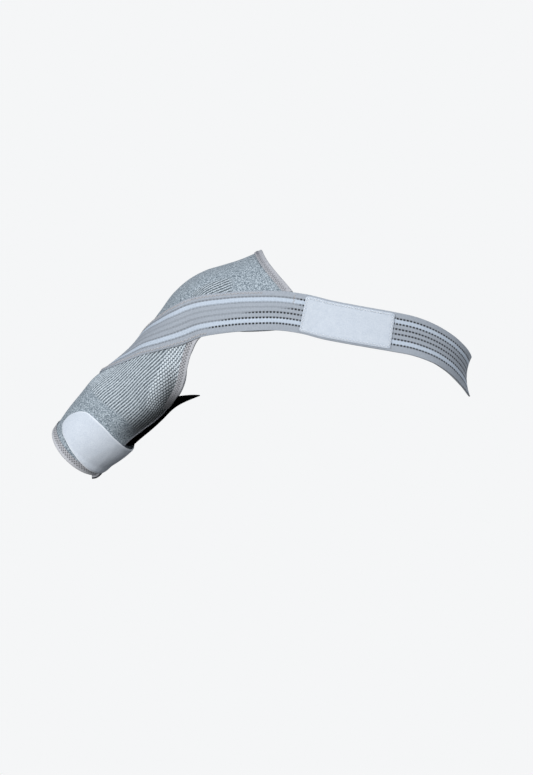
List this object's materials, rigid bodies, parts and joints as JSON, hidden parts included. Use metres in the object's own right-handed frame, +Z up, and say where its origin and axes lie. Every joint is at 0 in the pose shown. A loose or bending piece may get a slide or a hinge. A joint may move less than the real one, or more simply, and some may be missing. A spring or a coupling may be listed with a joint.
{
  "type": "shoulder brace",
  "caption": "Knitted sleeve for arm and shoulder with a closing tab and one elastic strap round the chest, in its worn form.",
  "frame": {"origin": "where the top of the wearer's shoulder carries the brace", "axes": "+X to the wearer's left, +Y to the wearer's back, +Z up"},
  "size_m": [0.5677, 0.2167, 0.3115],
  "materials": {
    "knit": "matte melange knit",
    "dark_knit": "matte near-black knit",
    "binding": "matte woven tape",
    "elastic": "matte striped elastic",
    "velour": "brushed velour"
  },
  "bodies": {
    "root": {"knit_sleeve": "knit", "underarm_panel": "dark_knit", "cuff_tape": "binding", "cuff_tape_end": "binding", "armhole_tape_front": "binding", "armhole_tape_back": "binding", "neck_tape": "binding", "body_strap": "elastic", "strap_patch": "velour", "arm_tab": "velour"}
  },
  "joints": []
}
